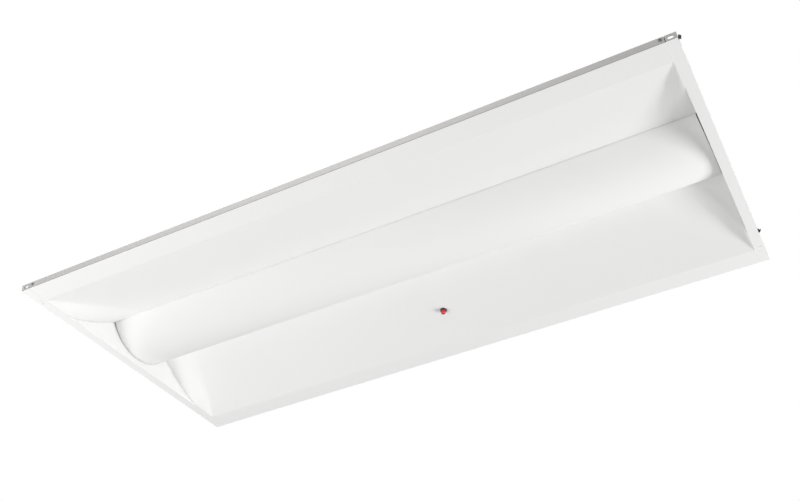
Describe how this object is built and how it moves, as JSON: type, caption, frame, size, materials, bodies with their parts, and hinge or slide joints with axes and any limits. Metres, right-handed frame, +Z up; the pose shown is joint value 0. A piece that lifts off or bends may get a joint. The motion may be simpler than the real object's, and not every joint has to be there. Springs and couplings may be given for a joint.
{
  "type": "troffer light",
  "caption": "Recessed ceiling troffer with sloping white reflectors, a bowed centre lens on hinges, grid clips and an emergency test button.",
  "frame": {"origin": "centre of the face plane, where the flange rests on the ceiling grid", "axes": "+Z up into the ceiling, away from the lit face; +X along the lens; +Y towards the side with the test button"},
  "size_m": [1.2238, 0.6046, 0.0975],
  "materials": {
    "white_steel": "white powder coat, low gloss",
    "galvanised_steel": "bare galvanised sheet with a faint spangle",
    "zinc_fastener": "bright zinc plate",
    "grey_plastic": "moulded, matte",
    "black_plastic": "moulded, satin",
    "black_spring_steel": "black oxide spring steel",
    "lens_acrylic": "opal diffuser, frosted outside",
    "white_plastic": "moulded, matte",
    "white_board": "white solder mask",
    "phosphor": "silicone over yellow phosphor",
    "green_board": "green solder mask",
    "red_steel": "red paint, satin",
    "cell_wrap": "shrink wrap",
    "brass_screw": "plain brass",
    "green_screw": "green plated steel",
    "black_insulation": "smooth wire insulation",
    "white_insulation": "smooth wire insulation",
    "green_insulation": "smooth wire insulation",
    "red_insulation": "smooth wire insulation",
    "yellow_insulation": "smooth wire insulation",
    "violet_insulation": "smooth wire insulation",
    "red_plastic": "moulded, semi gloss",
    "spring_wire": "drawn spring wire"
  },
  "bodies": {
    "fixture": {"reflector_near": "white_steel", "reflector_far": "white_steel", "end_plate_right": "white_steel", "end_plate_left": "white_steel", "housing_channel": "galvanised_steel", "corner_rivets": "zinc_fastener", "end_screws": "zinc_fastener", "side_screws": "zinc_fastener", "entry_plugs": "grey_plastic", "lead_bushing": "black_plastic", "clip_pivot_studs": "zinc_fastener", "lens_pivot_brackets": "white_steel", "lens_catches": "zinc_fastener", "gear_tray": "white_steel", "light_boards": "white_board", "light_chips": "phosphor", "board_screws": "zinc_fastener", "board_connectors": "white_plastic", "tray_grommet": "black_plastic", "driver_case": "galvanised_steel", "driver_cover": "white_steel", "driver_circuit": "green_board", "driver_screws": "zinc_fastener", "battery_case": "galvanised_steel", "battery_cover": "red_steel", "battery_cells": "cell_wrap", "charger_circuit": "green_board", "battery_screws": "zinc_fastener", "terminal_block": "white_plastic", "terminal_screws": "brass_screw", "ground_screw": "green_screw", "live_lead": "black_insulation", "neutral_lead": "white_insulation", "ground_lead": "green_insulation", "board_leads": "red_insulation", "battery_leads": "yellow_insulation", "switch_leads": "violet_insulation", "switch_body": "black_plastic", "switch_nut": "zinc_fastener", "switch_base": "black_plastic", "switch_terminals": "brass_screw", "button_spring": "spring_wire", "access_hinge_leaf": "galvanised_steel", "access_hinge_pin": "zinc_fastener"},
    "lens_door": {"lens": "lens_acrylic", "lens_cap_right": "white_plastic", "lens_cap_left": "white_plastic"},
    "near_right_clip": {"clip_near_right": "black_spring_steel"},
    "far_right_clip": {"clip_far_right": "black_spring_steel"},
    "near_left_clip": {"clip_near_left": "black_spring_steel"},
    "far_left_clip": {"clip_far_left": "black_spring_steel"},
    "test_button_cap": {"test_button": "red_plastic"},
    "access_door": {"access_plate": "galvanised_steel", "access_screw": "zinc_fastener"}
  },
  "joints": [
    {"name": "lens_swing", "type": "hinge", "parent": "fixture", "child": "lens_door", "pos_m": [0, 0.0755, 0.0505], "axis": [1, 0, 0], "range_deg": [0, 90]},
    {"name": "near_right_clip_swing", "type": "hinge", "parent": "fixture", "child": "near_right_clip", "pos_m": [0.5975, -0.285, 0.0063], "axis": [0, 0, 1], "range_deg": [0, 45]},
    {"name": "far_right_clip_swing", "type": "hinge", "parent": "fixture", "child": "far_right_clip", "pos_m": [0.5975, 0.202, 0.0063], "axis": [0, 0, -1], "range_deg": [0, 45]},
    {"name": "near_left_clip_swing", "type": "hinge", "parent": "fixture", "child": "near_left_clip", "pos_m": [-0.5975, -0.202, 0.0063], "axis": [0, 0, -1], "range_deg": [0, 45]},
    {"name": "far_left_clip_swing", "type": "hinge", "parent": "fixture", "child": "far_left_clip", "pos_m": [-0.5975, 0.285, 0.0063], "axis": [0, 0, 1], "range_deg": [0, 45]},
    {"name": "test_button_press", "type": "slide", "parent": "fixture", "child": "test_button_cap", "axis": [0, 0.2831, 0.9591], "range_m": [0, 0.002], "stiffness_N_per_m": 400, "springref_m": -0.0025, "deforming": ["button_spring"]},
    {"name": "access_swing", "type": "hinge", "parent": "fixture", "child": "access_door", "pos_m": [0.332, 0, 0.0949], "axis": [0, -1, 0], "range_deg": [0, 110]}
  ]
}
